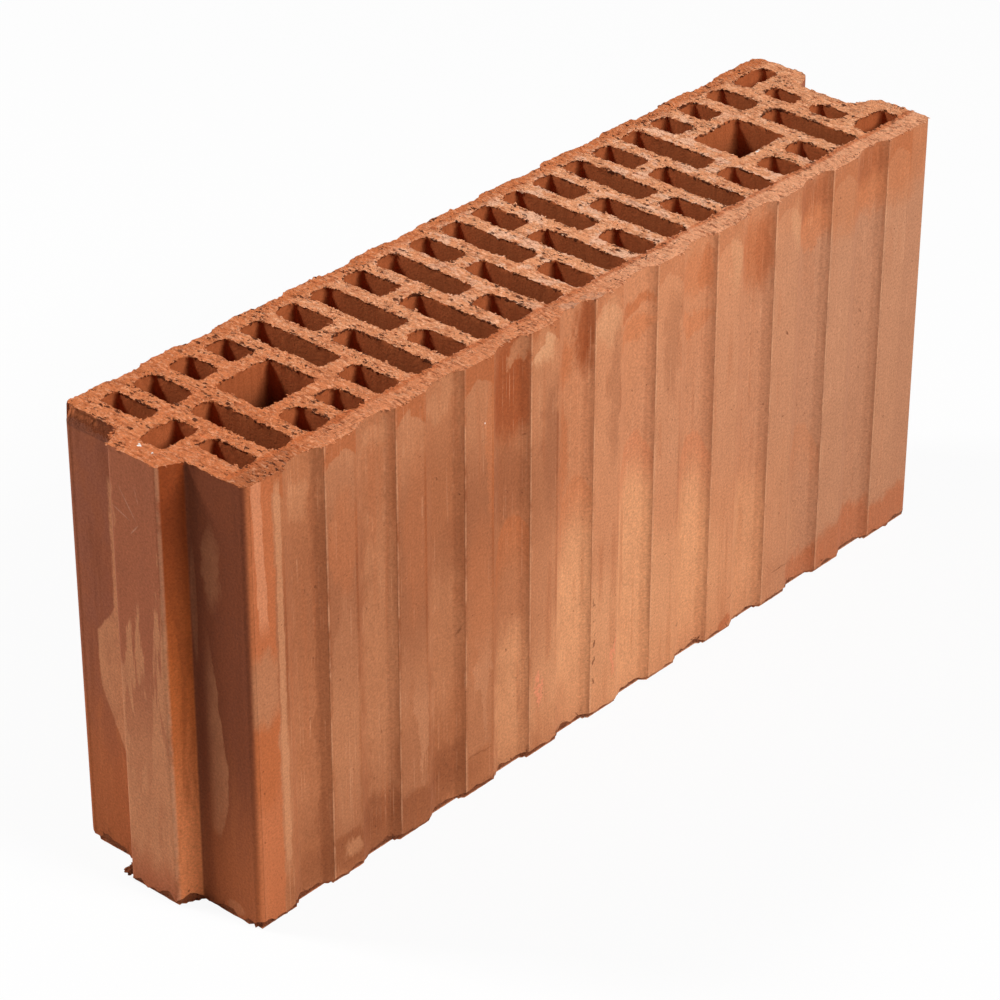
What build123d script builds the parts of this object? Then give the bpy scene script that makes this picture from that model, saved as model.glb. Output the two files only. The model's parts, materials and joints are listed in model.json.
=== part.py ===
"""A hollow clay brick: ribbed faces, rows of upright slots, two grip holes, a tongue and a groove.

Lengths are in millimetres. The brick stands on its lower bed face, with its length along X, its ribbed
faces towards -Y and +Y, its tongue at -X and its groove at +X. The origin is at the middle of its foot.
"""

import os

from build123d import *

# Body between its two end faces
body_length = 500.0
body_width = 115.0
body_height = 238.0
corner_round = 4.0

# Tongue on one end, and the room that the groove of the next brick leaves around it
tongue_height = 12.5
tongue_root = 43.0
tongue_slope = 6.5
tongue_round = 2.5
joint_clearance = 1.5
groove_lip_round = 7.0
groove_floor_round = 2.0

# Upright recesses between the raised strips of the front and back faces
recess_width = 26.2
front_recess_depth = 3.5
back_recess_depth = 2.5
recess_left_run = 7.5
recess_right_run = 5.0
recess_floor_round = 4.0
strip_width = 19.9
strip_edge_round = 1.5
least_end_strip = 20.0

# Slots and the walls around them
front_wall = 13.8
back_wall = 10.4
web = 8.4
slot_width = 14.4
short_slot = 28.5
slot_round = 2.5
most_round_share = 0.3
least_end_slot = 8.0

# Cells of the tongue end
tongue_end_wall = 12.0
tongue_tip_wall = 12.5
tongue_cell = 16.5

# Cells of the groove end
groove_lip_wall = 9.2
groove_floor_wall = 10.0
lip_cell = 12.4

# Grip holes, each across a pair of columns that is one column in from the end columns
grip_length = 35.5
grip_width = 31.7
columns_before_grip = 1

# Places along X and Y
overall_length = body_length + tongue_height
tongue_tip = -overall_length / 2
tongue_end = tongue_tip + tongue_height
groove_end = overall_length / 2
groove_floor = groove_end - tongue_height - joint_clearance
groove_mouth = tongue_root + 2 * joint_clearance
front = -body_width / 2
back = body_width / 2

# Raised strips and recesses of a face, spread about the middle of the brick
rib_pitch = recess_width + strip_width
rib_count = int((body_length - 2 * least_end_strip + strip_width) / rib_pitch)
first_recess = -(rib_count - 1) * rib_pitch / 2

# Columns of slots, with an end column at each end that takes up what is left of the length
column_pitch = slot_width + web
field_start = tongue_end + tongue_end_wall
field_end = groove_floor - groove_floor_wall
field_length = field_end - field_start
column_count = int((field_length - web - 2 * least_end_slot) / column_pitch)
end_slot = (field_length - web - column_count * column_pitch) / 2
first_column = field_start + end_slot + web + slot_width / 2
grip_pairs = [columns_before_grip, column_count - columns_before_grip - 2]

# Widths of the cells across the brick
field_front = front + front_wall
field_back = back - back_wall
field_middle = (field_front + field_back) / 2
field_width = field_back - field_front
long_slot = field_width - web - short_slot
tongue_side_cell = (field_width - tongue_cell - 2 * web) / 2
grip_side_cell = (field_width - grip_width - 2 * web) / 2
groove_cell = (field_width - 2 * lip_cell - 3 * web) / 2


def face_corners(face, depth):
    """Corner points and rounds of a ribbed face with recesses this deep, from tongue end to groove end."""
    points = [(tongue_end, face)]
    rounds = [corner_round]
    for number in range(rib_count):
        left = first_recess + number * rib_pitch - recess_width / 2
        right = left + recess_width
        points += [
            (left, face),
            (left + recess_left_run, face + depth),
            (right - recess_right_run, face + depth),
            (right, face),
        ]
        rounds += [strip_edge_round, recess_floor_round, recess_floor_round, strip_edge_round]
    points.append((groove_end, face))
    rounds.append(corner_round)
    return points, rounds


def outline():
    """Corner points and rounds of the whole section: front face, groove, back face and tongue."""
    front_points, front_rounds = face_corners(front, front_recess_depth)
    back_points, back_rounds = face_corners(back, -back_recess_depth)
    groove_points = [
        (groove_end, -groove_mouth / 2),
        (groove_floor, -groove_mouth / 2 + tongue_slope),
        (groove_floor, groove_mouth / 2 - tongue_slope),
        (groove_end, groove_mouth / 2),
    ]
    groove_rounds = [groove_lip_round, groove_floor_round, groove_floor_round, groove_lip_round]
    tongue_points = [
        (tongue_end, tongue_root / 2),
        (tongue_tip, tongue_root / 2 - tongue_slope),
        (tongue_tip, -tongue_root / 2 + tongue_slope),
        (tongue_end, -tongue_root / 2),
    ]
    points = front_points + groove_points + back_points[::-1] + tongue_points
    rounds = front_rounds + groove_rounds + back_rounds[::-1] + [tongue_round] * len(tongue_points)
    return points, rounds


def cell(start, end, middle, width):
    """Cut one upright cell out of the section, from start to end along X."""
    length = end - start
    corner = min(slot_round, most_round_share * min(length, width))
    with Locations(((start + end) / 2, middle)):
        RectangleRounded(length, width, corner, mode=Mode.SUBTRACT)


def column(start, end, front_width, back_width):
    """Cut a cell at the front and a cell at the back of the slot field, from start to end along X."""
    cell(start, end, field_front + front_width / 2, front_width)
    cell(start, end, field_back - back_width / 2, back_width)


def tongue_end_cells():
    """Cut the end column at the tongue, with a cell that reaches into the tongue."""
    end = field_start + end_slot
    column(field_start, end, tongue_side_cell, tongue_side_cell)
    cell(tongue_tip + tongue_tip_wall, end, field_middle, tongue_cell)


def groove_end_cells():
    """Cut the end column at the groove: two cells behind the groove and a long one in each lip."""
    start = field_end - end_slot
    column(start, groove_end - groove_lip_wall, lip_cell, lip_cell)
    for side in (-1, 1):
        cell(start, field_end, field_middle + side * (groove_cell + web) / 2, groove_cell)


def middle_cells():
    """Cut the columns between the two end columns, with long and short slots by turns and two grip holes."""
    for number in range(column_count):
        middle = first_column + number * column_pitch
        start = middle - slot_width / 2
        end = middle + slot_width / 2
        if any(number in (pair, pair + 1) for pair in grip_pairs):
            column(start, end, grip_side_cell, grip_side_cell)
        elif number % 2:
            column(start, end, short_slot, long_slot)
        else:
            column(start, end, long_slot, short_slot)
    for pair in grip_pairs:
        middle = first_column + (pair + 0.5) * column_pitch
        cell(middle - grip_length / 2, middle + grip_length / 2, field_middle, grip_width)


with BuildPart() as clay_brick:
    with BuildSketch():
        corners, rounds = outline()
        with BuildLine():
            FilletPolyline(*corners, radius=rounds, close=True)
        make_face()
        tongue_end_cells()
        middle_cells()
        groove_end_cells()
    extrude(amount=body_height)

clay_brick.part.label = "clay_brick"
os.makedirs("parts", exist_ok=True)
export_step(clay_brick.part, "parts/clay_brick.step")
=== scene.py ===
"""A hollow clay brick as it looks: torn wire-cut faces, ribbed fired sides, crumbs and specks of lime.

The top face of the CAD node is cut into a fine grid, pulled up to the whole brick and roughened. Lengths are
in millimetres wherever they are multiplied by mm, and in the materials.
"""

import json
import math
import random

import bpy
from mathutils import Euler, Matrix, Vector, noise

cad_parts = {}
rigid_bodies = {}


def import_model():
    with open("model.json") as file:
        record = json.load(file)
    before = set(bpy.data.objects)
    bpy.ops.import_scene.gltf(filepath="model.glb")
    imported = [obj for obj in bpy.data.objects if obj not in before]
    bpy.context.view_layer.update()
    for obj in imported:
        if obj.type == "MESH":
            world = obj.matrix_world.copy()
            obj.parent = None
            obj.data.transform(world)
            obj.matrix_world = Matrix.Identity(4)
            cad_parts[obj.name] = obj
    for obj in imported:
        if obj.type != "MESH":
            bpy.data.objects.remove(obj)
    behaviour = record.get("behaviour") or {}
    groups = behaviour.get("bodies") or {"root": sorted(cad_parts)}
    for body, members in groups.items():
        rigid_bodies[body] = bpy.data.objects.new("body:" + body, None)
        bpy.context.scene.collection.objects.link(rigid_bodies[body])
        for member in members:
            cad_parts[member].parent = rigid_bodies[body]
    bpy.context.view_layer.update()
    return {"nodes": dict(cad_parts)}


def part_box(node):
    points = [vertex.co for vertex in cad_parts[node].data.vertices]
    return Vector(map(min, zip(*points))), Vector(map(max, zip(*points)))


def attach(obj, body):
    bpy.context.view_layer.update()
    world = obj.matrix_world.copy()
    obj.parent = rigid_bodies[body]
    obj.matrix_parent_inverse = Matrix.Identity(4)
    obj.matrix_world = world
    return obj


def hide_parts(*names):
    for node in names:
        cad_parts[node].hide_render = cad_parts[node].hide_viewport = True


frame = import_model()

mm = 0.001
seed = 11
low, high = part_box("clay_brick")
height_mm = (high.z - low.z) / mm

# Layout of the brick, from which the grid lines and the painted strips follow
slot_width = 14.4
web = 8.4
first_slot = -212.15
field_front = -43.7
field_back = 47.1
front = low.y / mm
back = high.y / mm
tongue_tip = low.x / mm
tongue_end = tongue_tip + 12.5
groove_end = high.x / mm
rib_pitch = 46.1
first_recess = -207.45
recess_width = 26.2

# Grid of the cut faces, and heights of the rings between them
slot_cells = 10
web_cells = 6
first_column = -3
last_column = 21
cell_across = 1.425
weld = 0.001
snap = 0.3
merge = 0.2
flat_angle = math.radians(1)
smooth_angle = math.radians(42)
top_slope = 0.9
cut_slope = 0.7
rings_low = [0.7, 1.8, 4.0, 9.0]
calm_ring = 14.0
ring_count_middle = 2
rings_high = [height_mm - ring for ring in [calm_ring] + rings_low[::-1]]

# Weights of the roughening, by the ring from the cut face that a point lies on
ring_slack = 0.01
ring_weights = {0: 1.0, 1: 0.7, 2: 0.2, 3: 0.05}
chip_weights = {0: 0.4, 1: 0.8, 2: 1.0, 3: 0.9}
foot_weights = {0: 1.0, 1: 0.9, 2: 0.75, 3: 0.45, 4: 0.1}

# Shares of the roughening, and where they hold
front_rim = field_front - 4
front_rim_share = 0.5
torn_edge_share = 0.7
outer_edge_share = 0.35
worn_face_share = 0.5
worn_end = tongue_end + 8
back_edge = back - 8
chip_end = tongue_end + 2
chip_from = 24
chip_run = 18
arch_run = 6
arch_drop = 2.0

# Crumbs along the rims of the holes, and flakes on the top face
crumb_depth = 2.5
crumb_share = 0.55
crumb_sway = 1.1
crumb_patch = 14
crumb_least = 0.22
crumb_spread = 0.6
big_crumb_share = 0.04
big_crumb = 2.0
flake_count = 3000
flake_least = 0.3
flake_spread = 0.5
flake_margin = 6

# Floor, surroundings and lamps: name, place, aim, size and level
floor_size = 9.0
floor_gap = 0.2
floor_grey = (0.82, 0.82, 0.82, 1.0)
floor_glow_share = 0.93
dusk = 0.04
lamps = [
    ("front_right", (0.44, -2.6, 2.2), (0, 0, 0.12), 1.0, 0.87),
    ("back_left", (-0.97, 1.42, 1.97), (0, 0, 0.2), 0.45, 0.74),
]

# Camera
sensor_width = 36.0
camera_place = (-1223.707, -1071.658, 1076.936)
camera_azimuth = -48.489
camera_elevation = 30.978
camera_roll = 0.091
camera_lens = 137.127


def grid_lines():
    """Places of the cuts along X, which meet the sides of the slots, and along Y."""
    along = []
    pitch = slot_width + web
    for number in range(first_column, last_column + 1):
        start = first_slot + number * pitch
        along += [start + slot_width * step / slot_cells for step in range(slot_cells)]
        along += [start + slot_width + web * step / web_cells for step in range(web_cells)]
    along = [place for place in along if tongue_tip < place < groove_end]
    across = []
    place = field_front
    while place > front:
        place -= cell_across
    while place < back:
        place += cell_across
        across.append(place)
    return along, across


def alone(piece):
    """Make this the only selected object and the active one."""
    bpy.ops.object.select_all(action="DESELECT")
    piece.select_set(True)
    bpy.context.view_layer.objects.active = piece


def pick(piece, test):
    """Select the faces that pass a test, and no others, and go into edit mode."""
    bpy.ops.object.mode_set(mode="EDIT")
    bpy.ops.mesh.select_mode(type="FACE")
    bpy.ops.mesh.select_all(action="DESELECT")
    bpy.ops.object.mode_set(mode="OBJECT")
    for face in piece.data.polygons:
        face.select = test(face)
    bpy.ops.object.mode_set(mode="EDIT")


def gridded_brick():
    """The CAD outline as a fine closed mesh, with a grid on its cut faces and rings round its walls."""
    piece = bpy.data.objects.new("fired_brick", frame["nodes"]["clay_brick"].data.copy())
    bpy.context.scene.collection.objects.link(piece)
    piece.data.materials.clear()
    alone(piece)
    bpy.ops.mesh.customdata_custom_splitnormals_clear()
    bpy.ops.object.mode_set(mode="EDIT")
    bpy.ops.mesh.select_all(action="SELECT")
    bpy.ops.mesh.remove_doubles(threshold=weld * mm)
    pick(piece, lambda face: face.normal.z < top_slope)
    bpy.ops.mesh.delete(type="FACE")
    bpy.ops.mesh.select_all(action="SELECT")
    bpy.ops.mesh.dissolve_limited(angle_limit=flat_angle)
    along, across = grid_lines()
    for place in along:
        bpy.ops.mesh.select_all(action="SELECT")
        bpy.ops.mesh.bisect(plane_co=(place * mm, 0, 0), plane_no=(1, 0, 0), threshold=snap * mm)
    for place in across:
        bpy.ops.mesh.select_all(action="SELECT")
        bpy.ops.mesh.bisect(plane_co=(0, place * mm, 0), plane_no=(0, 1, 0), threshold=snap * mm)
    bpy.ops.mesh.select_all(action="SELECT")
    bpy.ops.mesh.remove_doubles(threshold=merge * mm)
    bpy.ops.transform.translate(value=(0, 0, low.z - high.z))
    room = rings_high[0] - rings_low[-1]
    middle = [rings_low[-1] + room * step / ring_count_middle for step in range(1, ring_count_middle)]
    level = 0.0
    for ring in rings_low + middle + rings_high + [height_mm]:
        bpy.ops.mesh.extrude_region_move(TRANSFORM_OT_translate={"value": (0, 0, (ring - level) * mm)})
        level = ring
    bpy.ops.mesh.select_all(action="SELECT")
    bpy.ops.mesh.normals_make_consistent(inside=False)
    bpy.ops.object.mode_set(mode="OBJECT")
    return piece


def give_materials(piece, cut, face, wall):
    """Put the three materials on the cut faces, the outer faces and the walls of the holes."""
    for material in (cut, wall, face):
        piece.data.materials.append(material)
    for polygon in piece.data.polygons:
        polygon.material_index = 0 if abs(polygon.normal.z) > cut_slope else 1
    tip_zone = (tongue_tip + 1) * mm
    pick(piece, lambda polygon: polygon.material_index == 1 and polygon.center.x < tip_zone)
    bpy.ops.mesh.select_linked(delimit={"MATERIAL"})
    piece.active_material_index = 2
    bpy.ops.object.material_slot_assign()
    bpy.ops.object.mode_set(mode="OBJECT")


def hole_spans(piece):
    """The lowest and highest X and Y, in millimetres, of the hole that each vertex of a wall belongs to."""
    joined = {}

    def first_of(index):
        while joined[index] != index:
            joined[index] = joined[joined[index]]
            index = joined[index]
        return index

    for polygon in piece.data.polygons:
        if polygon.material_index == 1:
            for index in polygon.vertices:
                joined.setdefault(index, index)
            for index in polygon.vertices:
                joined[first_of(index)] = first_of(polygon.vertices[0])
    members = {}
    for index in joined:
        members.setdefault(first_of(index), []).append(index)
    spans = {}
    for hole in members.values():
        places = [piece.data.vertices[index].co / mm for index in hole]
        span = (
            min(place.x for place in places),
            max(place.x for place in places),
            min(place.y for place in places),
            max(place.y for place in places),
        )
        spans.update({index: span for index in hole})
    return spans


def groups(piece):
    """Vertex groups with weights for the roughening, and an attribute that is 1 at the rims of the holes."""
    kinds = {}
    for polygon in piece.data.polygons:
        for vertex in polygon.vertices:
            kinds.setdefault(vertex, set()).add(polygon.material_index)
    spans = hole_spans(piece)
    rim_shares = []
    made = {}

    def add(name, vertex, weight):
        if name not in made:
            made[name] = piece.vertex_groups.new(name=name)
        made[name].add([vertex], weight, "REPLACE")

    steps = [0.0] + rings_low
    for vertex in piece.data.vertices:
        index = vertex.index
        found = kinds[index]
        x, y, z = vertex.co / mm
        upper = height_mm - z < z
        depth = min(height_mm - z, z)
        ring = min(range(len(steps)), key=lambda step: abs(steps[step] - depth))
        if abs(steps[ring] - depth) > ring_slack:
            ring = len(steps)
        weight = ring_weights.get(ring, 0.0)
        outer = 2 in found
        on_wall = outer or 1 in found
        rim_shares.append(1.0 if 1 in found and ring == 0 else 0.0)
        if ring == 0:
            smeared = front_rim_share if y < front_rim else 1.0
            add("torn_top" if upper else "torn_foot", index, smeared * (torn_edge_share if on_wall else 1.0))
        if on_wall and weight:
            add("edges", index, weight * (outer_edge_share if outer else 1.0))
            if upper:
                add("rim_top", index, weight * weight)
            elif outer:
                add("rim_foot", index, weight * weight)
        if outer:
            add("faces", index, 1.0)
            if not upper and ring in foot_weights:
                add("worn_foot", index, foot_weights[ring] * (1.0 if x < worn_end else worn_face_share))
            if upper and y > back_edge:
                add("back_edge", index, weight)
            if upper and x < chip_end and y > chip_from:
                add("chip", index, min(1.0, (y - chip_from) / chip_run) * chip_weights.get(ring, 0.0))
        if 1 in found:
            add("walls", index, 1.0)
            left, right, _, far = spans[index]
            if upper and weight and right - left < 2 * slot_width and far - y < arch_run:
                aside = abs(2 * x - left - right) / (right - left)
                add("arched_ends", index, weight * aside * aside * (1 - (far - y) / arch_run))
    piece.data.attributes.new("rim_share", "FLOAT", "POINT").data.foreach_set("value", rim_shares)


def roughen(
    piece, group, axis, strength, scale, stretch=(1, 1, 1), level=0.5, shift=0.0, depth=2, contrast=1.0
):
    """Move the vertices of a group along an axis by a cloud pattern, stretched by an empty."""
    cloud = bpy.data.textures.new(group + "_" + axis, type="CLOUDS")
    cloud.noise_scale = scale * mm
    cloud.noise_depth = depth
    cloud.contrast = contrast
    cloud.noise_basis = "IMPROVED_PERLIN"
    bpy.ops.object.empty_add(location=(shift * mm, shift * mm, shift * mm))
    frame_of_cloud = bpy.context.active_object
    frame_of_cloud.scale = stretch
    bpy.context.view_layer.update()
    alone(piece)
    change = piece.modifiers.new(group, "DISPLACE")
    change.texture = cloud
    change.texture_coords = "OBJECT"
    change.texture_coords_object = frame_of_cloud
    change.direction = axis
    change.vertex_group = group
    change.strength = strength * mm
    change.mid_level = level
    bpy.ops.object.modifier_apply(modifier=change.name)
    bpy.data.objects.remove(frame_of_cloud)


def shift_group(piece, group, axis, distance):
    """Move the vertices of a group along an axis, by a distance times their weight."""
    alone(piece)
    change = piece.modifiers.new(group, "DISPLACE")
    change.direction = axis
    change.vertex_group = group
    change.strength = distance * mm
    change.mid_level = 0.0
    bpy.ops.object.modifier_apply(modifier=change.name)


def weather(piece):
    """Tear the cut faces, fray the edges and make the fired faces a little uneven."""
    roughen(piece, "faces", "NORMAL", 0.7, 50, (1, 1, 3), depth=0)
    roughen(piece, "walls", "NORMAL", 0.7, 9, (1, 1, 6))
    shift_group(piece, "arched_ends", "Y", -arch_drop)
    roughen(piece, "torn_top", "Z", 3.0, 1.6, (1, 2.0, 1))
    roughen(piece, "torn_top", "Z", 1.8, 22, shift=5)
    roughen(piece, "torn_foot", "Z", 1.2, 2.4, (1, 3.2, 1), level=0.1)
    roughen(piece, "edges", "X", 3.2, 1.2, shift=40)
    roughen(piece, "edges", "Y", 3.2, 1.2, shift=90)
    roughen(piece, "edges", "X", 2.0, 6, shift=60)
    roughen(piece, "edges", "Y", 2.0, 6, shift=70)
    roughen(piece, "rim_top", "Z", -1.2, 3.0, level=0.3, shift=140)
    roughen(piece, "rim_foot", "Z", 9.0, 2.6, level=0.25, shift=160)
    roughen(piece, "rim_foot", "Z", 8.0, 11.0, level=0.4, shift=180)
    roughen(piece, "worn_foot", "Z", 6.5, 9.0, level=0.2, shift=300, depth=1, contrast=3.0)
    roughen(piece, "back_edge", "Y", -4.0, 6.0, level=0.25, shift=200)
    roughen(piece, "chip", "X", 4.2, 4.0, level=0.05, shift=240)


class Shade:
    """A socket of one material's node tree. Sums and products with it add Math nodes."""

    def __init__(self, tree, socket):
        self.tree = tree
        self.socket = socket

    def node(self, kind, sockets, settings=None, output=0):
        """Add a node of this type, with its settings set first, and give one of its outputs."""
        made = self.tree.nodes.new(kind)
        for name, value in (settings or {}).items():
            setattr(made, name, value)
        for name, value in sockets.items():
            if isinstance(value, Shade):
                self.tree.links.new(value.socket, made.inputs[name])
            else:
                made.inputs[name].default_value = value
        return Shade(self.tree, made.outputs[output])

    def math(self, operation, *values):
        return self.node("ShaderNodeMath", dict(enumerate(values)), {"operation": operation})

    def __add__(self, other):
        return self.math("ADD", self, other)

    def __radd__(self, other):
        return self.math("ADD", other, self)

    def __sub__(self, other):
        return self.math("SUBTRACT", self, other)

    def __rsub__(self, other):
        return self.math("SUBTRACT", other, self)

    def __mul__(self, other):
        return self.math("MULTIPLY", self, other)

    def __rmul__(self, other):
        return self.math("MULTIPLY", other, self)

    def __truediv__(self, other):
        return self.math("DIVIDE", self, other)

    def __abs__(self):
        return self.math("ABSOLUTE", self)

    def least(self, other):
        return self.math("MINIMUM", self, other)

    def most(self, other):
        return self.math("MAXIMUM", self, other)

    def rise(self, start, end, top=1.0):
        """0 before start, the top value after end and smooth between; start may be the larger."""
        sockets = {"Value": self, "From Min": start, "From Max": end, "To Max": top}
        return self.node("ShaderNodeMapRange", sockets, {"interpolation_type": "SMOOTHSTEP"})

    def parts(self):
        """The three numbers of a vector."""
        made = self.node("ShaderNodeSeparateXYZ", {0: self})
        outputs = made.socket.node.outputs
        return [Shade(self.tree, outputs[number]) for number in range(3)]

    def stretched(self, factors):
        return self.node("ShaderNodeVectorMath", {0: self, 1: factors}, {"operation": "MULTIPLY"})

    def noise(self, factors, detail=2.0, rough=0.5, bend=0.0):
        """Noise from 0 to 1, about 0.5, on this vector times the factors."""
        sockets = {"Vector": self.stretched(factors), "Scale": 1.0, "Detail": detail}
        sockets.update({"Roughness": rough, "Distortion": bend})
        return self.node("ShaderNodeTexNoise", sockets)

    def mixed(self, factor, other, kind="MIX"):
        """This colour with a share of another colour."""
        settings = {"data_type": "RGBA", "blend_type": kind}
        return self.node("ShaderNodeMix", {0: factor, 6: self, 7: other}, settings, 2)

    def toned(self, value):
        """This colour times a number."""
        return self.node("ShaderNodeVectorMath", {0: self, "Scale": value}, {"operation": "SCALE"})


def paint(red, green, blue):
    """A colour from its display values of 0 to 255."""
    linear = []
    for value in (red, green, blue):
        share = value / 255
        linear.append(share / 12.92 if share < 0.04045 else ((share + 0.055) / 1.055) ** 2.4)
    return (*linear, 1.0)


def clay(name, roughness):
    """A new clay material: its name's material, its shader node and the place on the brick in millimetres."""
    material = bpy.data.materials.new(name)
    material.use_nodes = True
    tree = material.node_tree
    shader = tree.nodes["Principled BSDF"]
    shader.inputs["Roughness"].default_value = roughness
    shader.inputs["Specular IOR Level"].default_value = 0.12
    coordinates = tree.nodes.new("ShaderNodeTexCoord")
    at = Shade(tree, coordinates.outputs["Object"])
    at = at.node("ShaderNodeVectorMath", {0: at, "Scale": 1 / mm}, {"operation": "SCALE"})
    return material, shader, at


def finish_clay(shader, colour, relief):
    """Join the colour and the relief, whose height is in millimetres, to the shader."""
    tree = colour.tree
    tree.links.new(colour.socket, shader.inputs["Base Color"])
    bump = colour.node("ShaderNodeBump", {"Height": relief, "Distance": mm, "Strength": 1.0})
    tree.links.new(bump.socket, shader.inputs["Normal"])


def solid_colour(at, colour):
    """A colour as a socket."""
    made = at.tree.nodes.new("ShaderNodeRGB")
    made.outputs[0].default_value = colour
    return Shade(at.tree, made.outputs[0])


def cut_clay():
    """The wire-cut faces: torn along Y, with pits, thin drag lines and pale torn spots, and with painted
    shade in the hollows and painted highlights on the crumbs.
    """
    material, shader, at = clay("cut_clay", 0.95)
    x, y, z = at.parts()
    torn = at.noise((0.5, 0.17, 0.5), 4.0, 0.65, 0.5)
    grain = at.noise((1.1, 0.7, 1.1), 3.0, 0.65)
    patch = at.noise((0.05, 0.04, 0.05), 2.0)
    drag = at.noise((0.8, 0.03, 0.8), 2.0, 0.5, 0.15)
    lines = abs(drag - 0.5).rise(0.016, 0.004) * at.noise((0.11, 0.05, 0.11), 2.0).rise(0.48, 0.58)
    cracks = abs(at.noise((0.03, 0.5, 0.03), 2.0, 0.5, 0.3) - 0.5).rise(0.007, 0.002)
    cracks = cracks * at.noise((0.03, 0.03, 0.03), 1.0).rise(0.56, 0.62)
    cells = at.node("ShaderNodeTexVoronoi", {"Vector": at.stretched((0.45, 0.24, 0.45)), "Scale": 1.0})
    chosen = Shade(at.tree, cells.socket.node.outputs["Color"]).parts()[0]
    pits = (cells + grain * 1.3 - chosen * 0.5).rise(0.6, 0.5) * patch.rise(0.42, 0.54)
    crumbly = at.noise((0.8, 0.3, 0.8), 3.0, 0.7).rise(0.5, 0.64)
    inside = y.rise(field_front - 5, field_front + 3) * y.rise(field_back + 5, field_back - 3)
    rim = y.rise(field_front + 1, field_front - 4)
    middle = x.rise(-200, -80)
    beside = at.node("ShaderNodeAttribute", {}, {"attribute_name": "rim_share"}, 2)
    loose = at.noise((0.07, 0.07, 0.07), 2.0) * 0.5 - 0.25
    notches = (at.noise((0.5, 0.5, 0.5), 3.0, 0.6) + beside * 0.2 + loose).rise(0.69, 0.75)
    pits = pits * (1 - rim * x.rise(-215, -190) * 0.7)
    colour = solid_colour(at, paint(206, 119, 73))
    colour = colour.mixed(patch.rise(0.42, 0.6) * 0.6, paint(211, 129, 83))
    colour = colour.mixed(inside * middle * (0.55 + 0.2 * x.rise(-30, 30)), paint(228, 158, 114))
    colour = colour.mixed(rim * x.rise(-30, 30) * 0.75, paint(232, 165, 125))
    colour = colour.mixed(rim * x.rise(-205, -180) * x.rise(20, -20) * 0.5, paint(214, 140, 99))
    colour = colour.mixed(rim * x.rise(-190, -215) * 0.85, paint(172, 97, 58))
    colour = colour.mixed(y.rise(field_back - 2, field_back + 3) * 0.5, paint(196, 110, 64))
    # Partly paler torn clay, partly a painted highlight where raised crumbs catch the light.
    colour = colour.mixed(crumbly * (0.35 + 0.4 * inside * middle), paint(246, 186, 146))
    scraped = at.noise((0.13, 0.07, 0.13), 3.0, 0.65).rise(0.5, 0.58) * inside
    colour = colour.mixed(scraped * x.rise(-100, 0) * x.rise(230, 150) * 0.5, paint(246, 200, 170))
    seam = (y + (patch - 0.5) * 8).rise(field_front - 4, field_front - 2)
    seam = seam * y.rise(field_front + 0.5, field_front - 0.5)
    colour = colour.mixed(seam * (0.25 + patch * 0.7), paint(190, 98, 52))
    # Painted shade in the low parts of the torn relief.
    colour = colour.mixed(torn.rise(0.49, 0.32) * 0.75, paint(152, 75, 40))
    colour = colour.mixed(lines.most(cracks) * 0.75, paint(110, 52, 28))
    # Painted shade: the pits and the notches at the rims of the holes are painted near black, for the shade
    # inside these hollows.
    colour = colour.mixed(pits.most(notches) * 0.9, paint(74, 32, 17))
    smear = at.noise((0.1, 0.16, 0.1), 2.0, 0.6) + x.rise(-40, -26) * x.rise(10, -10) * y.rise(-44, -53) * 0.4
    colour = colour.mixed(smear.rise(0.8, 0.98) * 0.4, paint(184, 148, 124))
    # Painted shade: the cut faces of the ragged foot darken low down, near the floor, for the shade under the
    # brick.
    colour = colour.mixed(z.rise(0.4, 1.4) * z.rise(30, 20) * 0.8, paint(104, 51, 28))
    colour = colour.toned(0.57 + grain * 1.12)
    finish_clay(shader, colour, torn * 2.2 + grain * 0.8 - pits.most(notches))
    return material


def wall_clay():
    """The walls of the holes: smooth from the die, redder, and painted darker further down as shade in the
    holes.
    """
    material, shader, at = clay("wall_clay", 0.85)
    z = at.parts()[2]
    streak = at.noise((0.3, 0.3, 0.02), 3.0)
    grain = at.noise((0.8, 0.8, 0.8), 3.0, 0.6)
    colour = solid_colour(at, paint(184, 100, 57))
    colour = colour.mixed(streak.rise(0.4, 0.65) * 0.4, paint(164, 84, 45))
    # Painted shade: the walls darken with depth below the cut faces, for the shade deep in the holes.
    from_cut = abs(z - height_mm / 2) * -1 + height_mm / 2
    colour = colour.mixed(from_cut.rise(3, 34) * 0.9, paint(82, 41, 22))
    # Painted shadow: dark spots just under the rims of the holes, as if an overhanging lip shaded the wall.
    loose = at.noise((0.07, 0.07, 0.07), 2.0) * 0.5 - 0.25
    lip_shadow = (at.noise((0.5, 0.5, 0.5), 3.0, 0.6) + from_cut.rise(2.4, 0.3) * 0.2 + loose).rise(0.67, 0.74)
    colour = colour.mixed(lip_shadow * from_cut.rise(2.6, 1.4) * 0.85, paint(66, 29, 15))
    colour = colour.toned(0.65 + grain * 0.7)
    finish_clay(shader, colour, grain * 0.35)
    return material


def place_on(across, upward):
    """A place on a face as one vector."""
    return across.node("ShaderNodeCombineXYZ", {"X": across, "Z": upward})


def spot(at, x, z, wide, tall, edge=0.6, share=1.0):
    """A spot about a place on a face, half as wide and tall as given, with an edge from 0, sharp, to 1."""
    sockets = {0: at, 1: (1 / wide, 0, 1 / tall), 2: (-x / wide, 0, -z / tall)}
    off = at.node("ShaderNodeVectorMath", sockets, {"operation": "MULTIPLY_ADD"})
    square = at.node("ShaderNodeVectorMath", {0: off, 1: off}, {"operation": "DOT_PRODUCT"}, 1)
    return square.rise(1 + edge, 1 - 0.9 * edge, share)


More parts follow.
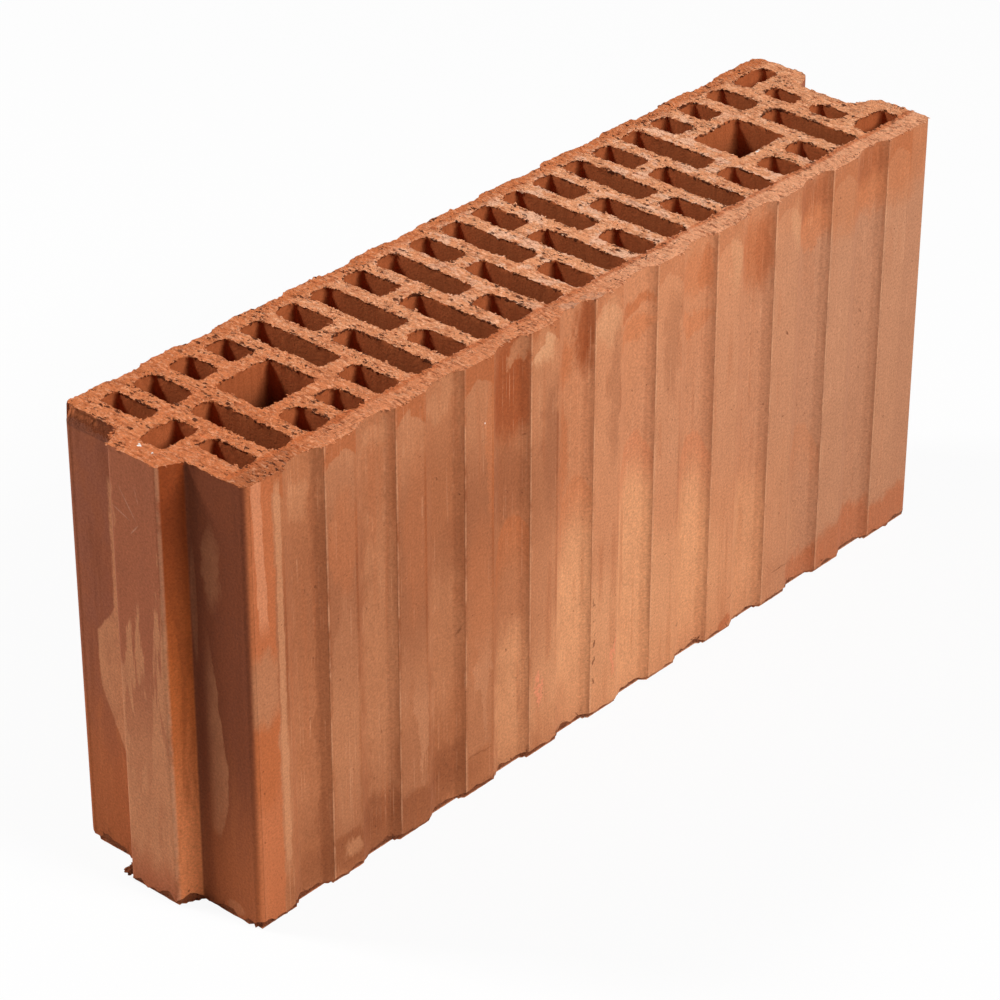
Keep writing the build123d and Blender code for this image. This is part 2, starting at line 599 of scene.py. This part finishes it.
def nick(x, z, place, level, long, wide, tilt):
    """A thin mark on a face about a place, half as long and wide as given, tilted from level by degrees."""
    cos = math.cos(math.radians(tilt))
    sin = math.sin(math.radians(tilt))
    along = ((x - place) * cos + (z - level) * sin) * (1 / long)
    aside = ((z - level) * cos - (x - place) * sin) * (1 / wide)
    return (along * along + aside * aside).rise(1.4, 0.5)


# Colours of the fired front face
rust = paint(154, 78, 41)
smoke = paint(150, 87, 55)
orange = paint(182, 101, 58)
amber = paint(197, 117, 73)
salmon = paint(226, 142, 104)
tan = paint(190, 127, 88)
gold = paint(223, 158, 112)
cream = paint(211, 152, 110)
foot_brown = paint(143, 81, 49)
foot_red = paint(182, 103, 65)

# Stains of the front face: zone, place along X, height, half width, half height, edge, share and colour
stains = [
    ("strip", -158, 152, 112, 46, 0.9, 0.9, paint(144, 79, 46)),
    ("recess", -140, 168, 96, 42, 0.9, 0.4, paint(150, 87, 54)),
    ("all", -150, 110, 60, 50, 0.9, 0.3, paint(150, 88, 55)),
    ("all", -212, 165, 44, 42, 0.9, 0.35, smoke),
    ("strip", -185, 206, 12, 24, 0.9, 0.4, smoke),
    ("all", 145, 150, 120, 56, 0.9, 0.4, paint(186, 129, 97)),
    ("all", 212, 224, 66, 22, 0.9, 0.6, paint(186, 108, 64)),
    ("all", -165, 34, 52, 24, 0.9, 0.45, foot_brown),
    ("recess", 20, 60, 70, 66, 0.8, 0.8, gold),
    ("strip", 20, 40, 80, 44, 0.9, 0.6, gold),
    ("recess", -66, 40, 16, 44, 0.8, 0.55, gold),
    ("recess", 110, 40, 40, 40, 0.9, 0.45, gold),
    ("recess", -209, 214, 7, 8, 0.8, 0.6, tan),
    ("recess", -198, 118, 3.4, 150, 0.5, 0.45, foot_brown),
    ("strip", -183, 182, 8.5, 27, 0.5, 0.4, orange),
    ("strip", -184, 90, 10, 62, 0.3, 0.25, tan),
    ("recess", -160, 231, 10, 6, 0.8, 0.6, tan),
    ("recess", -158, 110, 12, 80, 0.8, 0.5, tan),
    ("recess", -116, 96, 12, 46, 0.8, 0.4, tan),
    ("strip", -135, 165, 8, 40, 0.8, 0.3, orange),
    ("recess", -116, 229, 10, 7, 0.8, 0.6, tan),
    ("recess", -108, 140, 12, 14, 0.9, 0.4, smoke),
    ("strip", -83.5, 190, 3.4, 50, 0.7, 0.6, orange),
    ("strip", -92, 110, 9, 40, 0.9, 0.4, orange),
    ("recess", -68, 214, 15, 27, 0.8, 0.95, rust),
    ("recess", -62, 228, 6, 4, 0.7, 0.7, tan),
    ("recess", -70, 162, 14, 20, 0.9, 0.6, smoke),
    ("strip", -48, 225, 8, 9, 0.7, 0.8, cream),
    ("strip", -41, 176, 7, 34, 0.7, 0.9, smoke),
    ("recess", -14.5, 220, 7, 20, 0.8, 0.9, rust),
    ("recess", -28, 208, 6, 13, 0.7, 0.6, orange),
    ("recess", -30, 160, 4, 24, 0.9, 0.5, orange),
    ("strip", 0, 222, 8, 14, 0.7, 0.55, cream),
    ("strip", 5, 178, 5, 36, 0.8, 0.5, smoke),
    ("recess", 22, 217, 14, 5, 0.5, 0.65, orange),
    ("recess", 20, 203, 14, 6, 0.6, 0.6, amber),
    ("strip", 49, 190, 6, 26, 0.8, 0.45, smoke),
    ("recess", 66, 219, 14, 12, 0.7, 0.55, amber),
    ("recess", 77, 219, 5, 10, 0.6, 0.5, orange),
    ("recess", 69, 194, 14, 5, 0.5, 0.5, amber),
    ("strip", 97, 216, 4, 18, 0.9, 0.5, cream),
    ("recess", 116, 216, 14, 20, 0.9, 0.65, orange),
    ("recess", 122, 212, 5, 18, 0.9, 0.35, rust),
    ("strip", 145, 214, 4, 14, 0.9, 0.5, cream),
    ("recess", 161, 228, 14, 11, 0.9, 0.5, rust),
    ("recess", 161, 210, 13, 10, 0.6, 0.5, amber),
    ("recess", 208, 230, 13, 11, 0.9, 0.55, rust),
    ("strip", 232, 226, 14, 14, 0.9, 0.4, orange),
    ("recess", 208, 212, 13, 12, 0.8, 0.4, amber),
    ("strip", 250, 130, 5, 110, 0.7, 0.5, orange),
    ("recess", -161, 27, 14, 11, 0.7, 0.7, foot_brown),
    ("all", -160, 12, 62, 13, 0.5, 0.6, foot_brown),
    ("recess", -112, 22, 14, 10, 0.7, 0.6, foot_brown),
    ("strip", -181, 13, 6, 6, 0.8, 0.8, tan),
    ("all", 215, 10, 48, 16, 0.5, 0.7, foot_red),
    ("recess", 162, 8, 14, 10, 0.6, 0.6, foot_red),
    ("strip", 96, 4, 7, 5, 0.4, 0.8, foot_red),
]

# Arched tide marks in the recesses of the front face: place along X, height of the arch, share and colour
tides = [
    (-66, 143, 0.55, orange),
    (-20, 144, 0.5, amber),
    (24, 150, 0.6, paint(203, 124, 84)),
    (69, 131, 0.6, paint(203, 124, 84)),
    (160, 96, 0.25, amber),
]

# Pale runs that narrow downwards on the strips: place along X, height of the tip, slope of a side and share
runs = [(-133, 24, 0.12, 0.55), (-89, 24, 0.1, 0.5), (140, 40, 0.14, 0.3)]

# Nicks of the front face: place along X, height, half length, half width and tilt
nicks = [
    (-105.0, 97.6, 3.2, 0.5, 60),
    (140.6, 159.5, 2.2, 0.6, 120),
    (207.8, 143.7, 2.0, 0.6, 130),
    (104.0, 19.0, 5.0, 0.45, 2),
    (143.0, 18.0, 7.0, 0.5, 0),
    (61.0, 21.0, 1.6, 1.0, 0),
    (-93.0, 22.0, 10.0, 0.5, -2),
]


def ribs(x):
    """How far a point lies from the middle of its recess, how raised it is, and a chance for its rib."""
    turn = (x - (first_recess - rib_pitch / 2)) / rib_pitch
    aside = (turn.math("FRACT", turn) - 0.5) * rib_pitch
    chance = turn.node("ShaderNodeTexWhiteNoise", {"W": turn.math("FLOOR", turn)}, {"noise_dimensions": "1D"})
    raised = abs(aside).rise(recess_width / 2 - 1.0, recess_width / 2 + 0.3)
    return aside, raised, chance


def near_corner(colour, at, x, z, ragged):
    """The front face beside the tongue end: an orange border with a worn stripe, mist and pits."""
    fray = (ragged - 0.5) * 10
    border = (x + fray * 0.5).rise(-226.5, -228)
    tint = solid_colour(at, paint(182, 101, 60)).mixed(z.rise(78, 55) * 0.7, paint(192, 110, 68))
    tint = tint.mixed(spot(place_on(x + fray, z + fray), -236, 92, 9, 26, 0.6, 0.7), paint(180, 96, 51))
    mist = spot(place_on(x + fray, z + fray * 2), -236, 129, 12, 19, 0.7, 0.8)
    tint = tint.mixed(mist, paint(178, 118, 82))
    slant = x + 236 + fray * 0.4 + (z - 200) * 0.035
    worn = abs(slant).rise(3.4, 2.6) * z.rise(154, 170)
    tint = tint.mixed(worn * 0.85, paint(206, 132, 93))
    colour = colour.mixed(border * 0.9, tint)
    trail = abs(x + 224.2 + (ragged - 0.5) * 4).rise(2.2, 1.4) * z.rise(28, 32) * z.rise(236, 230)
    return colour.mixed(trail * 0.6, paint(201, 138, 98)), border


def stained(colour, x, z, ragged, frayed, zones):
    """A colour of the front face with its stains and tide marks."""
    for zone, place, level, wide, tall, edge, share, tint in stains:
        colour = colour.mixed(spot(frayed, place, level, wide, tall, edge, share) * zones[zone], tint)
    for place, level, share, tint in tides:
        off = x - place
        below = (off * off * -0.11 + level) - z + (ragged - 0.5) * 9
        mask = below.rise(-1.5, 1.5) * below.rise(34, 2) * abs(off).rise(16, 12, share) * zones["recess"]
        colour = colour.mixed(mask, tint)
    return colour


def filmed(colour, z, across, rib, ragged, bright, zones):
    """A colour with the pale film of the raised strips, its bare upper end and its runs."""
    aside, raised, chance = rib
    film_side = abs(aside).rise(recess_width / 2 + 0.8, recess_width / 2 + 2.0)
    to_middle = abs(aside) - rib_pitch / 2
    film_top = z + to_middle * to_middle * 0.07 + (ragged - 0.5) * 8 + chance * 6
    film = film_side * film_top.rise(height_mm - 4, height_mm - 5.2) * (z - ragged * 14).rise(16, 18.5)
    colour = colour.mixed(film * 0.14, paint(212, 150, 110))
    cap = raised * film_top.rise(height_mm - 5, height_mm - 4) * z.rise(height_mm - 40, height_mm - 20)
    colour = colour.mixed(cap * (0.65 - 0.4 * bright), paint(172, 92, 51))
    for place, tip, slope, share in runs:
        run = ((z - tip) * slope - abs(across - place)).rise(-0.6, 0.6) * z.rise(tip + 75, tip + 40, share)
        colour = colour.mixed(run * zones["strip"], paint(196, 133, 95))
    return colour


def marked(colour, at, grain, ragged, frayed, is_front, border):
    """A colour with pores, dots, nicks and flakes; and the pores."""
    x, _, z = at.parts()
    pores = at.noise((0.6, 0.6, 0.5), 2.0, 0.4).rise(0.74, 0.77) * 0.6
    coarse = at.noise((0.3, 0.3, 0.22), 3.0, 0.5).rise(0.58, 0.64)
    dotted = spot(at, -7.6, 42, 1.2, 32, 0.4) * is_front
    speckled = grain.rise(0.6, 0.68) * border * z.rise(58, 20)
    marks = pores.most(dotted * coarse).most(speckled * 0.8)
    for row in nicks:
        marks = marks.most(nick(x, z + (ragged - 0.5) * 5, *row) * is_front * coarse.rise(-0.6, 0.6))
    colour = colour.mixed(marks * 0.7, paint(96, 46, 25))
    flakes = spot(frayed, -49.5, 42, 2.4, 14, 0.3).most(spot(frayed, 8.5, 32, 1.4, 11, 0.3))
    return colour.mixed(flakes * coarse.rise(0.6, 0.1) * is_front * 0.8, salmon), pores


def face_clay():
    """The fired outer faces: stained, brushed, filmed and marked, with the two ends in their own colours."""
    material, shader, at = clay("face_clay", 0.8)
    x, y, z = at.parts()
    clouds = at.noise((0.03, 0.03, 0.018), 4.0, 0.55, 0.5)
    mottle = at.noise((0.1, 0.1, 0.06), 4.0, 0.6, 0.4)
    streak = at.noise((0.24, 0.24, 0.008), 4.0, 0.6)
    lines = at.noise((1.3, 1.3, 0.012), 3.0, 0.65)
    grain = at.noise((0.8, 0.8, 0.8), 3.0, 0.7)
    ragged = at.noise((0.16, 0.16, 0.08), 4.0, 0.65)
    is_front = y.rise(front + 12, front + 8)
    aside, raised, chance = ribs(x)
    bright = x.rise(-85, 15)
    far = x.rise(85, 190)
    colour = solid_colour(at, paint(174, 107, 69))
    colour = colour.mixed(clouds.rise(0.42, 0.62) * 0.5, paint(179, 114, 77))
    colour = colour.mixed(bright * 0.95, paint(200, 131, 91))
    colour = colour.mixed(far * 0.85, paint(182, 126, 94))
    uneven = is_front * (0.7 + mottle * 0.6)
    zones = {"recess": uneven * (1 - raised), "strip": uneven * raised, "all": uneven}
    across = x + (mottle - 0.5) * 16 + (ragged - 0.5) * 8
    upward = z + (clouds - 0.5) * 36 + (ragged - 0.5) * 18
    frayed = place_on(across, upward)
    colour = stained(colour, x, z, ragged, frayed, zones)
    colour = filmed(colour, z, across, (aside, raised, chance), ragged, bright, zones)
    brushed = streak.rise(0.5, 0.66) * clouds.rise(0.44, 0.58)
    colour = colour.mixed(brushed * (0.35 - 0.2 * far), paint(172, 98, 60))
    pale = lines.rise(0.55, 0.68) * mottle.rise(0.46, 0.6)
    colour = colour.mixed(pale * 0.3, paint(219, 160, 121))
    # Painted light on the ribs: a pale highlight along the edge of each raised strip, partly standing for
    # wear, and painted shade on the recess slope beside it, both in patches.
    patchy_light_and_shade = mottle.rise(0.35, 0.6)
    arris = aside.rise(12.6, 13.2) * aside.rise(14.4, 13.6)
    colour = colour.mixed(arris * patchy_light_and_shade * 0.4, paint(224, 164, 124))
    groove = aside.rise(10.4, 12.2) * aside.rise(13.1, 12.6)
    colour = colour.mixed(groove * (0.1 + patchy_light_and_shade * 0.3), paint(128, 71, 42))
    colour, border = near_corner(colour, at, x, z, ragged)
    colour, pores = marked(colour, at, grain, ragged, frayed, is_front, border)
    # Painted shadow: a dark rim along the foot of the outer faces, for the shade under the brick.
    colour = colour.mixed((z - mottle * 3).rise(1.2, -0.2) * 0.7, paint(112, 57, 31))
    in_groove = x.rise(groove_end - 19, groove_end - 16) * abs(y).rise(33, 29)
    ends = x.rise(tongue_end + 2.2, tongue_end + 0.4).most(x.rise(groove_end - 2.2, groove_end - 0.6))
    ends = ends.most(in_groove)
    end = end_colour(at, x, y, z, mottle, ragged)
    colour = colour.mixed(ends, end.toned(0.93))
    colour = colour.toned(0.35 + grain * 1.05 + mottle * 0.17 + lines * 0.08)
    chipped = z.rise(height_mm - 11, height_mm - 9) * y.rise(24, 27) * x.rise(tongue_end + 2, tongue_end + 1)
    finish_clay(shader, colour, grain * (0.13 + chipped * 2.0) + arris * 0.25 - pores * 0.4)
    return material


def end_colour(at, x, y, z, mottle, ragged):
    """The ends with the tongue and the groove: dusky brown, with tan bloom in upright trails."""
    trail = at.noise((0.11, 0.11, 0.014), 4.0, 0.62, 0.5)
    fray = (ragged - 0.5) * 12
    colour = solid_colour(at, paint(162, 93, 66)).mixed(mottle.rise(0.38, 0.62) * 0.5, paint(166, 92, 58))
    colour = colour.mixed(trail.rise(0.5, 0.36) * 0.45, paint(136, 74, 48))
    colour = colour.mixed(z.rise(130, 20) * 0.8, paint(190, 104, 58))
    colour = colour.mixed(trail.rise(0.54, 0.64) * z.rise(150, 60) * 0.45, paint(206, 118, 70))
    tongued = x.rise(10, -10)
    behind = y.rise(19, 21)
    before = y.rise(-19, -21)
    tip = (1 - behind) * (1 - before)
    colour = colour.mixed(tip * 0.7, paint(186, 108, 74))
    # Painted shade: the niche in front of the tongue is darker, most at the top, for the tongue's shadow.
    colour = colour.mixed(before * tongued * (0.75 - z.rise(100, 20) * 0.5), paint(126, 62, 34))
    reach = ((z - 58) * 0.45 + 27).least(((141 - z) * 0.7 + 30).most(30.5)).least(42.5)
    root_run = (reach + fray * 0.4 - y).rise(-0.7, 0.7) * (z + fray).rise(212, 204) * behind
    reach = 39.5 - (z - 84).most(0.0) * 0.125 - (60 - z).most(0.0) * 0.34
    niche_run = (reach + fray * 0.4 + y).rise(-0.7, 0.7) * y.rise(-25, -33)
    niche_run = niche_run * z.rise(40, 48) * z.rise(165, 115)
    drips = spot(place_on(y, z + fray), -23, 165, 1.6, 28, 0.5)
    drips = drips.most(spot(place_on(y - fray, z), -34, 188, 5, 20, 0.8))
    drips = drips.most(spot(place_on(y - fray * 0.5, z), -41, 6, 6, 3.5, 0.3))
    tip_fill = (z + fray * 2).rise(138, 70) * 0.75
    tip_run = (trail + (150 - z) * 0.0016).rise(0.53, 0.6).most(tip_fill) * tip
    tip_run = tip_run * (z + fray * 1.5).rise(6, 30)
    speckled = 0.6 + mottle * 0.4 + (ragged - 0.5) * 0.8
    bloom = root_run.most(niche_run.most(drips * 0.7) * before * 0.52).most(tip_run) * tongued
    bloom = bloom.most((trail + (100 - z) * 0.0012).rise(0.52, 0.6) * (1 - tongued) * 0.7) * speckled
    colour = colour.mixed(bloom.least(1.0).most(0.0), paint(214, 142, 99))
    scratches = nick(y, z, 4, 212, 9, 0.35, 55).most(nick(y, z, 9, 206, 7, 0.35, 20))
    scratches = scratches.most(nick(y, z, -2, 219, 5, 0.35, 75)).most(nick(y, z, 0, 200, 4, 0.35, 130))
    colour = colour.mixed(scratches * tip * mottle.rise(0.35, 0.55) * 0.5, paint(206, 152, 122))
    # Painted shade in the corner where the tongue's flank meets the niche.
    nook = y.rise(-31, -25) * before * x.rise(tongue_end - 1.5, tongue_end - 0.5)
    colour = colour.mixed(nook * 0.45, paint(96, 46, 26))
    # Painted light and shade on the tongue's front flank: dark at the top for its shadow, bright at the
    # bottom for light from the floor.
    flank = abs(y).rise(15.2, 16.2) * abs(y).rise(22.5, 21) * x.rise(tongue_end - 0.5, tongue_end - 1.5)
    flank_light_and_shade = solid_colour(at, paint(146, 63, 20)).mixed(z.rise(215, 110), paint(206, 106, 48))
    flank_light_and_shade = flank_light_and_shade.mixed(z.rise(120, 20), paint(234, 140, 86))
    flank_light_and_shade = flank_light_and_shade.mixed(trail.rise(0.5, 0.36) * 0.4, paint(150, 70, 28))
    colour = colour.mixed(flank * 0.9, flank_light_and_shade)
    # Painted highlight: a thin pale line along the tongue's arris, where the edge catches the light.
    arris = abs(abs(y) - 15.2).rise(0.9, 0.4) * x.rise(tongue_tip + 3, tongue_tip + 1.5)
    colour = colour.mixed(arris * mottle.rise(0.35, 0.55) * 0.45, paint(214, 150, 112))
    broken = (z + fray - (y - 21) * 0.12).rise(height_mm - 10.5, height_mm - 9.5) * y.rise(24, 27) * tongued
    return colour.mixed(broken * 0.9, paint(140, 68, 33))


def lime():
    """White lime that shows as specks in the clay."""
    material, shader, _ = clay("lime", 0.9)
    shader.inputs["Base Color"].default_value = paint(240, 236, 230)
    return material


def lumps(name, rows, material, fineness=1):
    """One mesh of small uneven bits, each from a row of place, three sizes and three turns."""
    bpy.ops.object.select_all(action="DESELECT")
    bpy.ops.mesh.primitive_ico_sphere_add(subdivisions=fineness, radius=1.0)
    pattern = bpy.context.active_object
    corners = [vertex.co.copy() for vertex in pattern.data.vertices]
    faces = [tuple(polygon.vertices) for polygon in pattern.data.polygons]
    bpy.data.objects.remove(pattern)
    chance = random.Random(seed + len(name))
    points = []
    sides = []
    for place, sizes, turns in rows:
        start = len(points)
        turned = Euler(turns).to_matrix() @ Matrix.Diagonal(Vector(sizes))
        for corner in corners:
            points.append(turned @ (corner * chance.uniform(0.6, 1.25)) + place)
        sides += [tuple(start + index for index in face) for face in faces]
    mesh = bpy.data.meshes.new(name)
    mesh.from_pydata(points, [], sides)
    mesh.materials.append(material)
    piece = bpy.data.objects.new(name, mesh)
    bpy.context.scene.collection.objects.link(piece)
    return piece


def crumb_rows(piece):
    """Crumbs along the edges of the holes at the top, and torn flakes on the top face."""
    chance = random.Random(seed)
    walls = set()
    cut = set()
    for polygon in piece.data.polygons:
        if polygon.material_index == 1:
            walls.update(polygon.vertices)
        elif polygon.material_index == 0:
            cut.update(polygon.vertices)
    places = {index: piece.data.vertices[index].co for index in sorted(walls | cut)}
    places = {index: place for index, place in places.items() if place.z > (height_mm - crumb_depth) * mm}
    edges = [index for index in places if index in walls and index in cut]
    bare = (back - flake_margin) * mm
    sheet = [place for index, place in places.items() if index not in walls and place.y < bare]
    spans = hole_spans(piece)
    rows = []
    for index in edges:
        place = places[index]
        if chance.random() > crumb_share + crumb_sway * noise.noise(place / (crumb_patch * mm)):
            continue
        left, right, near, far = spans[index]
        aside = Vector([(place.x / mm - left) / (right - left), (place.y / mm - near) / (far - near), 0.5])
        aside -= Vector([0.5, 0.5, 0.5])
        outward = Vector([aside.x, 0, 0]) if abs(aside.x) > abs(aside.y) else Vector([0, aside.y, 0])
        size = crumb_least + crumb_spread * chance.random() ** 3
        if chance.random() < big_crumb_share:
            size *= big_crumb
        sizes = [size * chance.uniform(0.7, 1.7) * mm for number in range(2)]
        sizes.append(size * chance.uniform(0.4, 0.8) * mm)
        turns = [chance.uniform(-0.5, 0.5), chance.uniform(-0.5, 0.5), chance.uniform(0, math.tau)]
        nudge = outward.normalized() * chance.uniform(-0.1, 1.2) * mm
        rows.append((place + nudge, sizes, turns))
    for place in chance.sample(sheet, flake_count):
        size = flake_least + flake_spread * chance.random() ** 2
        sizes = [size * mm, size * chance.uniform(1.4, 3.6) * mm, size * chance.uniform(0.3, 0.6) * mm]
        turns = [chance.uniform(-0.12, 0.12), chance.uniform(-0.4, 0.4), chance.uniform(-0.25, 0.25)]
        nudge = Vector([chance.uniform(-0.7, 0.7) * mm, chance.uniform(-0.7, 0.7) * mm, -0.1 * mm])
        rows.append((place + nudge, sizes, turns))
    return rows


def placed_rows(list_of_bits):
    """Rows for lumps from a list of place and three sizes in millimetres, each turned a little."""
    chance = random.Random(seed)
    rows = []
    for place, sizes in list_of_bits:
        turns = [chance.uniform(-0.3, 0.3) for number in range(3)]
        rows.append((Vector(place) * mm, [size * mm for size in sizes], turns))
    return rows


# Burrs that the wire left: place and half sizes
burr_bits = [
    ((-245.5, 22.0, 235.0), (2.6, 2.4, 1.8)),
    ((-248.5, 18.5, 236.4), (2.2, 2.0, 1.3)),
    ((-254.5, 18.0, 4.0), (2.6, 3.2, 1.8)),
    ((-253.0, 16.5, 6.0), (2.0, 2.6, 1.6)),
    ((243.6, 16.0, 234.0), (2.2, 2.0, 3.0)),
]

# Specks of lime: place and half sizes
lime_bits = [
    ((-248.1, 3.1, 237.6), (1.2, 1.6, 0.9)),
    ((-246.6, 4.4, 237.5), (0.6, 0.8, 0.6)),
    ((-248.5, -5.5, 237.6), (0.8, 0.8, 0.7)),
    ((-235.7, -30.3, 237.7), (1.0, 0.8, 0.5)),
    ((164.4, -16.0, 237.6), (1.1, 0.9, 0.9)),
    ((166.5, -15.4, 237.6), (0.7, 0.8, 0.6)),
    ((149.4, 27.2, 237.6), (0.8, 0.7, 0.7)),
    ((53.7, -5.9, 237.6), (0.6, 0.6, 0.5)),
    ((52.7, 56.0, 236.6), (0.7, 0.6, 0.6)),
    ((11.3, 56.0, 236.6), (0.6, 0.6, 0.6)),
    ((-215.0, -53.9, 176.8), (0.7, 0.5, 0.9)),
    ((-88.5, -57.3, 204.2), (0.5, 0.4, 0.6)),
]


def lamp(name, place, aim, size, level):
    """A square lamp that lights a face turned to it to this level at its aim."""
    data = bpy.data.lights.new(name, type="AREA")
    data.size = size
    lit = bpy.data.objects.new(name, data)
    bpy.context.scene.collection.objects.link(lit)
    way = Vector(aim) - Vector(place)
    data.energy = level * math.pi**2 * way.length_squared
    lit.location = place
    lit.rotation_euler = way.to_track_quat("-Z", "Y").to_euler()


def seen(tree):
    """1 for rays of the camera and of clear or shiny surfaces, and 0 for light that falls on things."""
    path = tree.nodes.new("ShaderNodeLightPath")
    camera = Shade(tree, path.outputs["Is Camera Ray"])
    glossy = Shade(tree, path.outputs["Is Glossy Ray"])
    clear = Shade(tree, path.outputs["Is Transmission Ray"])
    return camera.most(glossy).most(clear)


def studio():
    """White floor and surroundings, two soft lamps and the camera of the photograph."""
    bpy.ops.object.select_all(action="DESELECT")
    bpy.ops.mesh.primitive_plane_add(size=floor_size, location=(0, 0, low.z - floor_gap * mm))
    floor = bpy.context.active_object
    floor.name = "floor"
    material = bpy.data.materials.new("floor")
    material.use_nodes = True
    tree = material.node_tree
    shader = tree.nodes["Principled BSDF"]
    shader.inputs["Base Color"].default_value = floor_grey
    shader.inputs["Roughness"].default_value = 1.0
    shader.inputs["Specular IOR Level"].default_value = 0.0
    shown = seen(tree)
    glow = shown.node("ShaderNodeEmission", {"Color": (1, 1, 1, 1), "Strength": 1.0})
    own = Shade(tree, shader.outputs[0])
    both = shown.node("ShaderNodeMixShader", {0: shown * floor_glow_share, 1: own, 2: glow})
    tree.links.new(both.socket, tree.nodes["Material Output"].inputs["Surface"])
    floor.data.materials.append(material)

    world = bpy.data.worlds.new("studio")
    bpy.context.scene.world = world
    world.use_nodes = True
    tree = world.node_tree
    background = tree.nodes["Background"]
    background.inputs["Color"].default_value = (1.0, 1.0, 1.0, 1.0)
    shown = seen(tree)
    strength = shown.node("ShaderNodeMapRange", {"Value": shown, "To Min": dusk, "To Max": 1.0})
    tree.links.new(strength.socket, background.inputs["Strength"])

    for row in lamps:
        lamp(*row)

    data = bpy.data.cameras.new("camera")
    camera = bpy.data.objects.new("camera", data)
    bpy.context.scene.collection.objects.link(camera)
    data.lens = camera_lens
    data.sensor_width = sensor_width
    turn = Matrix.Rotation(math.radians(camera_azimuth), 4, "Z")
    tilt = Matrix.Rotation(math.radians(90 - camera_elevation), 4, "X")
    roll = Matrix.Rotation(math.radians(camera_roll), 4, "Z")
    place = Matrix.Translation(Vector(camera_place) * mm)
    camera.matrix_world = place @ turn @ tilt @ roll
    bpy.context.scene.camera = camera
    bpy.context.scene.view_settings.view_transform = "Standard"


brick = gridded_brick()
give_materials(brick, cut_clay(), face_clay(), wall_clay())
groups(brick)
weather(brick)
alone(brick)
bpy.ops.object.shade_smooth_by_angle(angle=smooth_angle)
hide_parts("clay_brick")
crumbs = lumps("crumbs", crumb_rows(brick), brick.data.materials[0])
burrs = lumps("burrs", placed_rows(burr_bits), brick.data.materials[0], 3)
specks = lumps("lime_specks", placed_rows(lime_bits), lime(), 2)
for piece in (brick, crumbs, burrs, specks):
    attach(piece, "root")
studio()
